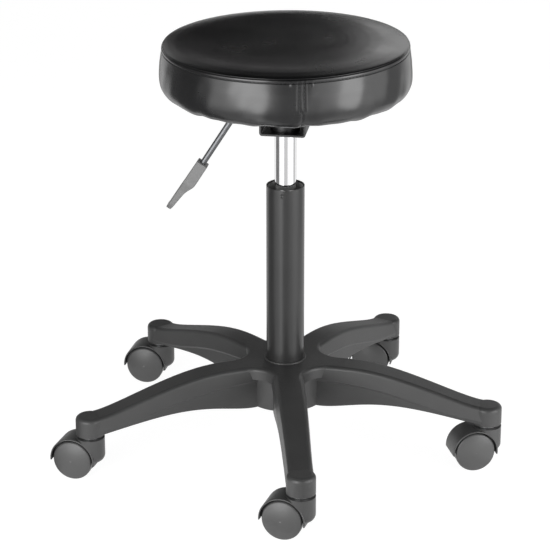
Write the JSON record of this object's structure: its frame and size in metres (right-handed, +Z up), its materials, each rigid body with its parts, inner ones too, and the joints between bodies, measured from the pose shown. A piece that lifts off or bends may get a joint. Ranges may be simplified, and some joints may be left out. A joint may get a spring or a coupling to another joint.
{
  "type": "adjustable swivel stool",
  "caption": "Round padded swivel stool on a gas-lift column with a height release lever and a star base on hooded casters.",
  "frame": {"origin": "on the floor, on the column's axis", "axes": "+Z up along the column; the viewer of the picture stands at -Y, +X to their right"},
  "size_m": [0.594, 0.5574, 0.5695],
  "materials": {
    "base_nylon": "fine moulded grain",
    "caster_nylon": "satin moulded",
    "wheel_nylon": "satin moulded",
    "paddle_plastic": "satin moulded",
    "bush_plastic": "smooth moulded",
    "column_paint": "satin black powder coat",
    "mechanism_paint": "black enamel",
    "chrome": "polished",
    "bright_steel": "drawn, bright",
    "valve_aluminium": "turned",
    "seal_rubber": "matt",
    "plywood": "bare birch",
    "foam": "open cell",
    "vinyl": "semi-gloss fine grain",
    "dust_cloth": "non-woven"
  },
  "bodies": {
    "base": {"star_base": "base_nylon", "outer_column": "column_paint", "guide_bush": "bush_plastic", "lower_bearing_washer": "bright_steel", "ball_cage": "bush_plastic", "bearing_balls": "bright_steel", "caster_stems": "bright_steel", "grip_rings": "bright_steel", "snap_rings": "bright_steel"},
    "front_caster": {"front_caster_hood": "caster_nylon", "front_caster_axle": "bright_steel"},
    "front_wheel_left": {"front_wheel_left": "wheel_nylon"},
    "front_wheel_right": {"front_wheel_right": "wheel_nylon"},
    "right_caster": {"right_caster_hood": "caster_nylon", "right_caster_axle": "bright_steel"},
    "right_wheel_left": {"right_wheel_left": "wheel_nylon"},
    "right_wheel_right": {"right_wheel_right": "wheel_nylon"},
    "rear_right_caster": {"rear_right_caster_hood": "caster_nylon", "rear_right_caster_axle": "bright_steel"},
    "rear_right_wheel_left": {"rear_right_wheel_left": "wheel_nylon"},
    "rear_right_wheel_right": {"rear_right_wheel_right": "wheel_nylon"},
    "rear_left_caster": {"rear_left_caster_hood": "caster_nylon", "rear_left_caster_axle": "bright_steel"},
    "rear_left_wheel_left": {"rear_left_wheel_left": "wheel_nylon"},
    "rear_left_wheel_right": {"rear_left_wheel_right": "wheel_nylon"},
    "left_caster": {"left_caster_hood": "caster_nylon", "left_caster_axle": "bright_steel"},
    "left_wheel_left": {"left_wheel_left": "wheel_nylon"},
    "left_wheel_right": {"left_wheel_right": "wheel_nylon"},
    "piston": {"piston_rod": "bright_steel", "piston": "valve_aluminium", "piston_ring": "seal_rubber", "upper_bearing_washer": "bright_steel", "bump_stop": "seal_rubber", "rod_washer": "bright_steel", "rod_clip": "bright_steel"},
    "seat": {"gas_cylinder": "chrome", "pressure_tube": "bright_steel", "rod_guide": "bush_plastic", "rod_seal": "seal_rubber", "valve_body": "valve_aluminium", "seat_plate": "mechanism_paint", "mechanism_channel": "mechanism_paint", "taper_socket": "mechanism_paint", "lever_bracket": "mechanism_paint", "lever_pivot_pin": "bright_steel", "seat_screws": "bright_steel", "lock_washers": "bright_steel", "tee_nuts": "bright_steel", "seat_board": "plywood", "seat_foam": "foam", "seat_cover_top": "vinyl", "seat_cover_band": "vinyl", "dust_cover": "dust_cloth", "staples": "bright_steel"},
    "lever": {"lever_rod": "bright_steel", "lever_paddle": "paddle_plastic"},
    "release_pin": {"release_pin": "bright_steel"}
  },
  "joints": [
    {"name": "front_caster_swivel", "type": "hinge", "parent": "base", "child": "front_caster", "pos_m": [0.0199, -0.27428, 0], "axis": [0, 0, 1], "continuous": true},
    {"name": "front_wheel_left_roll", "type": "hinge", "parent": "front_caster", "child": "front_wheel_left", "pos_m": [0.00088, -0.2681, 0.0265], "axis": [-0.309, -0.9511, 0], "continuous": true},
    {"name": "front_wheel_right_roll", "type": "hinge", "parent": "front_caster", "child": "front_wheel_right", "pos_m": [0.00088, -0.2681, 0.0265], "axis": [-0.309, -0.9511, 0], "continuous": true},
    {"name": "right_caster_swivel", "type": "hinge", "parent": "base", "child": "right_caster", "pos_m": [0.267, -0.06583, 0], "axis": [0, 0, 1], "continuous": true},
    {"name": "right_wheel_left_roll", "type": "hinge", "parent": "right_caster", "child": "right_wheel_left", "pos_m": [0.24752, -0.07033, 0.0265], "axis": [0.225, -0.9744, 0], "continuous": true},
    {"name": "right_wheel_right_roll", "type": "hinge", "parent": "right_caster", "child": "right_wheel_right", "pos_m": [0.24752, -0.07033, 0.0265], "axis": [0.225, -0.9744, 0], "continuous": true},
    {"name": "rear_right_caster_swivel", "type": "hinge", "parent": "base", "child": "rear_right_caster", "pos_m": [0.14512, 0.23359, 0], "axis": [0, 0, 1], "continuous": true},
    {"name": "rear_right_wheel_left_roll", "type": "hinge", "parent": "rear_right_caster", "child": "rear_right_wheel_left", "pos_m": [0.12563, 0.23809, 0.0265], "axis": [-0.225, -0.9744, 0], "continuous": true},
    {"name": "rear_right_wheel_right_roll", "type": "hinge", "parent": "rear_right_caster", "child": "rear_right_wheel_right", "pos_m": [0.12563, 0.23809, 0.0265], "axis": [-0.225, -0.9744, 0], "continuous": true},
    {"name": "rear_left_caster_swivel", "type": "hinge", "parent": "base", "child": "rear_left_caster", "pos_m": [-0.17732, 0.2102, 0], "axis": [0, 0, 1], "continuous": true},
    {"name": "rear_left_wheel_left_roll", "type": "hinge", "parent": "rear_left_caster", "child": "rear_left_wheel_left", "pos_m": [-0.19681, 0.2147, 0.0265], "axis": [-0.225, -0.9744, 0], "continuous": true},
    {"name": "rear_left_wheel_right_roll", "type": "hinge", "parent": "rear_left_caster", "child": "rear_left_wheel_right", "pos_m": [-0.19681, 0.2147, 0.0265], "axis": [-0.225, -0.9744, 0], "continuous": true},
    {"name": "left_caster_swivel", "type": "hinge", "parent": "base", "child": "left_caster", "pos_m": [-0.25471, -0.10368, 0], "axis": [0, 0, 1], "continuous": true},
    {"name": "left_wheel_left_roll", "type": "hinge", "parent": "left_caster", "child": "left_wheel_left", "pos_m": [-0.27373, -0.0975, 0.0265], "axis": [-0.309, -0.9511, 0], "continuous": true},
    {"name": "left_wheel_right_roll", "type": "hinge", "parent": "left_caster", "child": "left_wheel_right", "pos_m": [-0.27373, -0.0975, 0.0265], "axis": [-0.309, -0.9511, 0], "continuous": true},
    {"name": "seat_swivel", "type": "hinge", "parent": "base", "child": "piston", "pos_m": [0, 0, 0], "axis": [0, 0, 1], "continuous": true},
    {"name": "seat_lift", "type": "slide", "parent": "piston", "child": "seat", "axis": [0, 0, 1], "range_m": [-0.06, 0.06]},
    {"name": "lever_tilt", "type": "hinge", "parent": "seat", "child": "lever", "pos_m": [-0.01881, 0.00264, 0.48], "axis": [0.1392, 0.9903, 0], "range_deg": [0, 10], "stiffness_Nm_per_rad": 6.5},
    {"name": "release_pin_slide", "type": "slide", "parent": "seat", "child": "release_pin", "axis": [0, 0, 1], "range_m": [-0.0034, 0]}
  ],
  "couplings": [
    {"joint": "release_pin_slide", "follows": "lever_tilt", "m_per_rad": -0.019}
  ]
}
